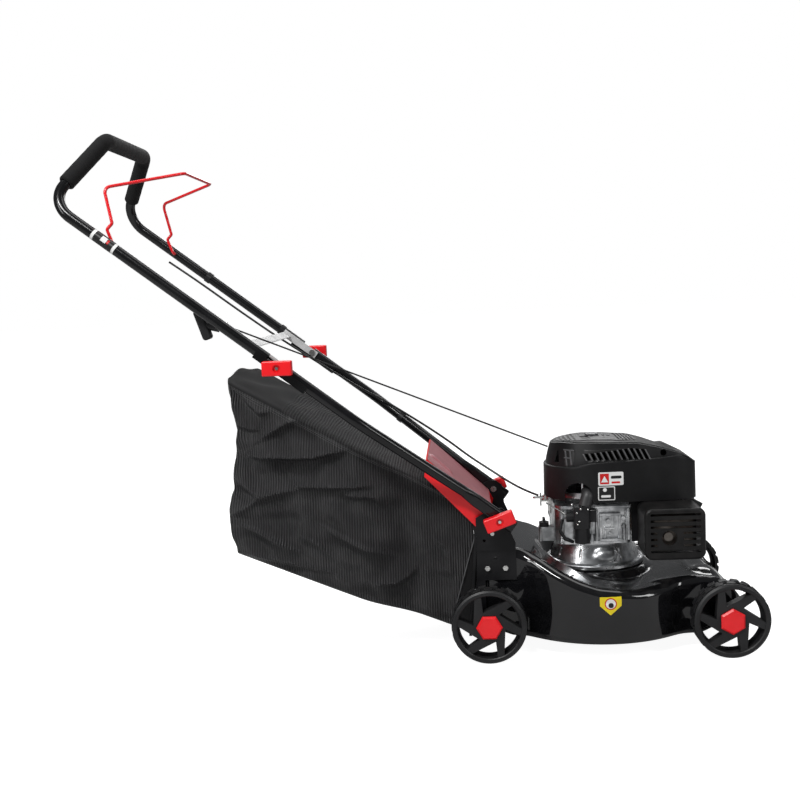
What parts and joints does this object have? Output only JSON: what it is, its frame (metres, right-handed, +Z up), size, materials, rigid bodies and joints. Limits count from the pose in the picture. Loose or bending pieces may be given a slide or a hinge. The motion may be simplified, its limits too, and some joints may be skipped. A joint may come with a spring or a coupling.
{
  "type": "push lawn mower",
  "caption": "Walk-behind petrol lawn mower with a pressed deck, rear grass bag, folding U handle with brake bail, recoil starter and plastic wheels.",
  "frame": {"origin": "on the ground below the middle of the mower's outline", "axes": "+X forward in the direction of mowing, +Y to the mower's left, +Z up"},
  "size_m": [1.3753, 0.5604, 1.0988],
  "materials": {
    "gloss_black_steel": "gloss",
    "satin_black_tube": "satin",
    "black_plate": "satin",
    "zinc": "bright zinc",
    "dark_steel": "ground",
    "blade_steel": "ground",
    "cast_aluminium": "cast",
    "wheel_plastic": "moulded",
    "red_plastic": "moulded",
    "housing_plastic": "fine grain",
    "grille_plastic": "moulded",
    "black_plastic": "moulded",
    "guard_steel": "heat paint",
    "muffler_steel": "heat stained",
    "foam": "foam",
    "red_rod": "powder coat",
    "grey_strap": "satin",
    "rope": "braided",
    "cable_jacket": "smooth",
    "bag_fabric": "ribbed mesh",
    "ceramic": "rubber boot"
  },
  "bodies": {
    "root": {"deck_shell": "gloss_black_steel", "rear_baffle": "gloss_black_steel", "side_plate_right": "black_plate", "side_plate_left": "black_plate", "deck_bolts": "zinc", "axle_bolts": "zinc", "flap_rod": "zinc", "engine_base": "cast_aluminium", "crankcase": "cast_aluminium", "cylinder": "cast_aluminium", "cylinder_head": "cast_aluminium", "valve_cover": "dark_steel", "spark_plug": "ceramic", "blower_housing": "housing_plastic", "top_grille": "grille_plastic", "recoil_post": "dark_steel", "muffler": "muffler_steel", "muffler_guard": "guard_steel", "carburettor": "black_plastic", "air_filter_cover": "black_plastic", "fuel_tank": "black_plastic", "cable_bracket": "zinc", "lower_handle_right": "satin_black_tube", "lower_handle_left": "satin_black_tube", "handle_bolts": "zinc", "starter_rope": "rope", "control_cable": "cable_jacket", "cable_clip_lower": "black_plastic"},
    "upper_handle": {"upper_handle": "satin_black_tube", "fold_sleeves": "satin_black_tube", "foam_grip": "foam", "cross_brace": "grey_strap", "rope_guide": "zinc", "cable_clips_upper": "black_plastic"},
    "bail": {"bail": "red_rod"},
    "starter_handle": {"starter_handle": "black_plastic"},
    "recoil_pulley": {"recoil_pulley": "black_plastic"},
    "crank": {"crankshaft": "dark_steel", "flywheel": "cast_aluminium", "blade_adapter": "dark_steel", "blade": "blade_steel", "blade_bolt": "dark_steel"},
    "flap": {"discharge_flap": "red_plastic"},
    "bag": {"bag_body": "bag_fabric", "bag_frame": "black_plastic"},
    "fuel_cap": {"fuel_cap": "black_plastic"},
    "dipstick": {"dipstick": "black_plastic"},
    "brake_lever": {"brake_lever": "zinc"},
    "wheel_rear_right": {"wheel_rear_right": "wheel_plastic", "hub_cap_rear_right": "red_plastic"},
    "wheel_rear_left": {"wheel_rear_left": "wheel_plastic", "hub_cap_rear_left": "red_plastic"},
    "wheel_front_right": {"wheel_front_right": "wheel_plastic", "hub_cap_front_right": "red_plastic"},
    "wheel_front_left": {"wheel_front_left": "wheel_plastic", "hub_cap_front_left": "red_plastic"},
    "knob_upper_right": {"knob_upper_right": "red_plastic"},
    "knob_upper_left": {"knob_upper_left": "red_plastic"},
    "knob_lower_right": {"knob_lower_right": "red_plastic"},
    "knob_lower_left": {"knob_lower_left": "red_plastic"}
  },
  "joints": [
    {"name": "wheel_rear_right_spin", "type": "hinge", "parent": "root", "child": "wheel_rear_right", "pos_m": [0.133, -0.207, 0.076], "axis": [0, 1, 0], "continuous": true},
    {"name": "wheel_rear_left_spin", "type": "hinge", "parent": "root", "child": "wheel_rear_left", "pos_m": [0.133, 0.207, 0.076], "axis": [0, 1, 0], "continuous": true},
    {"name": "wheel_front_right_spin", "type": "hinge", "parent": "root", "child": "wheel_front_right", "pos_m": [0.613, -0.207, 0.076], "axis": [0, 1, 0], "continuous": true},
    {"name": "wheel_front_left_spin", "type": "hinge", "parent": "root", "child": "wheel_front_left", "pos_m": [0.613, 0.207, 0.076], "axis": [0, 1, 0], "continuous": true},
    {"name": "handle_fold", "type": "hinge", "parent": "root", "child": "upper_handle", "pos_m": [-0.258, 0, 0.6155], "axis": [0, 1, 0], "range_deg": [0, 125], "deforming": ["starter_rope", "control_cable"]},
    {"name": "bail_swing", "type": "hinge", "parent": "upper_handle", "child": "bail", "pos_m": [-0.577, 0, 0.86496], "axis": [0, -1, 0], "range_deg": [0, 46], "stiffness_Nm_per_rad": 0.5, "springref_deg": -34.38},
    {"name": "starter_pull", "type": "slide", "parent": "upper_handle", "child": "starter_handle", "axis": [-0.9659, 0, 0.259], "range_m": [0, 0.5], "stiffness_N_per_m": 15, "springref_m": -0.05},
    {"name": "recoil_spin", "type": "hinge", "parent": "root", "child": "recoil_pulley", "pos_m": [0.373, 0, 0.399], "axis": [0, 0, -1], "range_deg": [0, 870]},
    {"name": "blade_spin", "type": "hinge", "parent": "root", "child": "crank", "pos_m": [0.373, 0, 0.06], "axis": [0, 0, 1], "continuous": true},
    {"name": "flap_lift", "type": "hinge", "parent": "root", "child": "flap", "pos_m": [0.147, 0, 0.251], "axis": [0, 1, 0], "range_deg": [0, 40], "stiffness_Nm_per_rad": 0.2, "springref_deg": -57.3},
    {"name": "bag_lift", "type": "slide", "parent": "root", "child": "bag", "axis": [-0.866, 0, 0.5], "range_m": [0, 0.4]},
    {"name": "knob_upper_right_turn", "type": "hinge", "parent": "root", "child": "knob_upper_right", "pos_m": [-0.258, -0.26, 0.6155], "axis": [0, 1, 0], "continuous": true},
    {"name": "knob_upper_left_turn", "type": "hinge", "parent": "root", "child": "knob_upper_left", "pos_m": [-0.258, 0.26, 0.6155], "axis": [0, 1, 0], "continuous": true},
    {"name": "knob_lower_right_turn", "type": "hinge", "parent": "root", "child": "knob_lower_right", "pos_m": [0.162, -0.185, 0.283], "axis": [0, 1, 0], "continuous": true},
    {"name": "knob_lower_left_turn", "type": "hinge", "parent": "root", "child": "knob_lower_left", "pos_m": [0.162, 0.185, 0.283], "axis": [0, 1, 0], "continuous": true},
    {"name": "fuel_cap_turn", "type": "hinge", "parent": "root", "child": "fuel_cap", "pos_m": [0.32, 0.138, 0.31], "axis": [0, 0, 1], "continuous": true},
    {"name": "dipstick_turn", "type": "hinge", "parent": "root", "child": "dipstick", "pos_m": [0.262, -0.04, 0.24], "axis": [0, 0, 1], "continuous": true},
    {"name": "brake_lever_swing", "type": "hinge", "parent": "root", "child": "brake_lever", "pos_m": [0.272, 0.034, 0.284], "axis": [0, 0, 1], "range_deg": [0, 25]}
  ],
  "couplings": [
    {"joint": "brake_lever_swing", "follows": "bail_swing", "ratio": 0.5},
    {"joint": "recoil_spin", "follows": "starter_pull", "rad_per_m": 30.303}
  ]
}
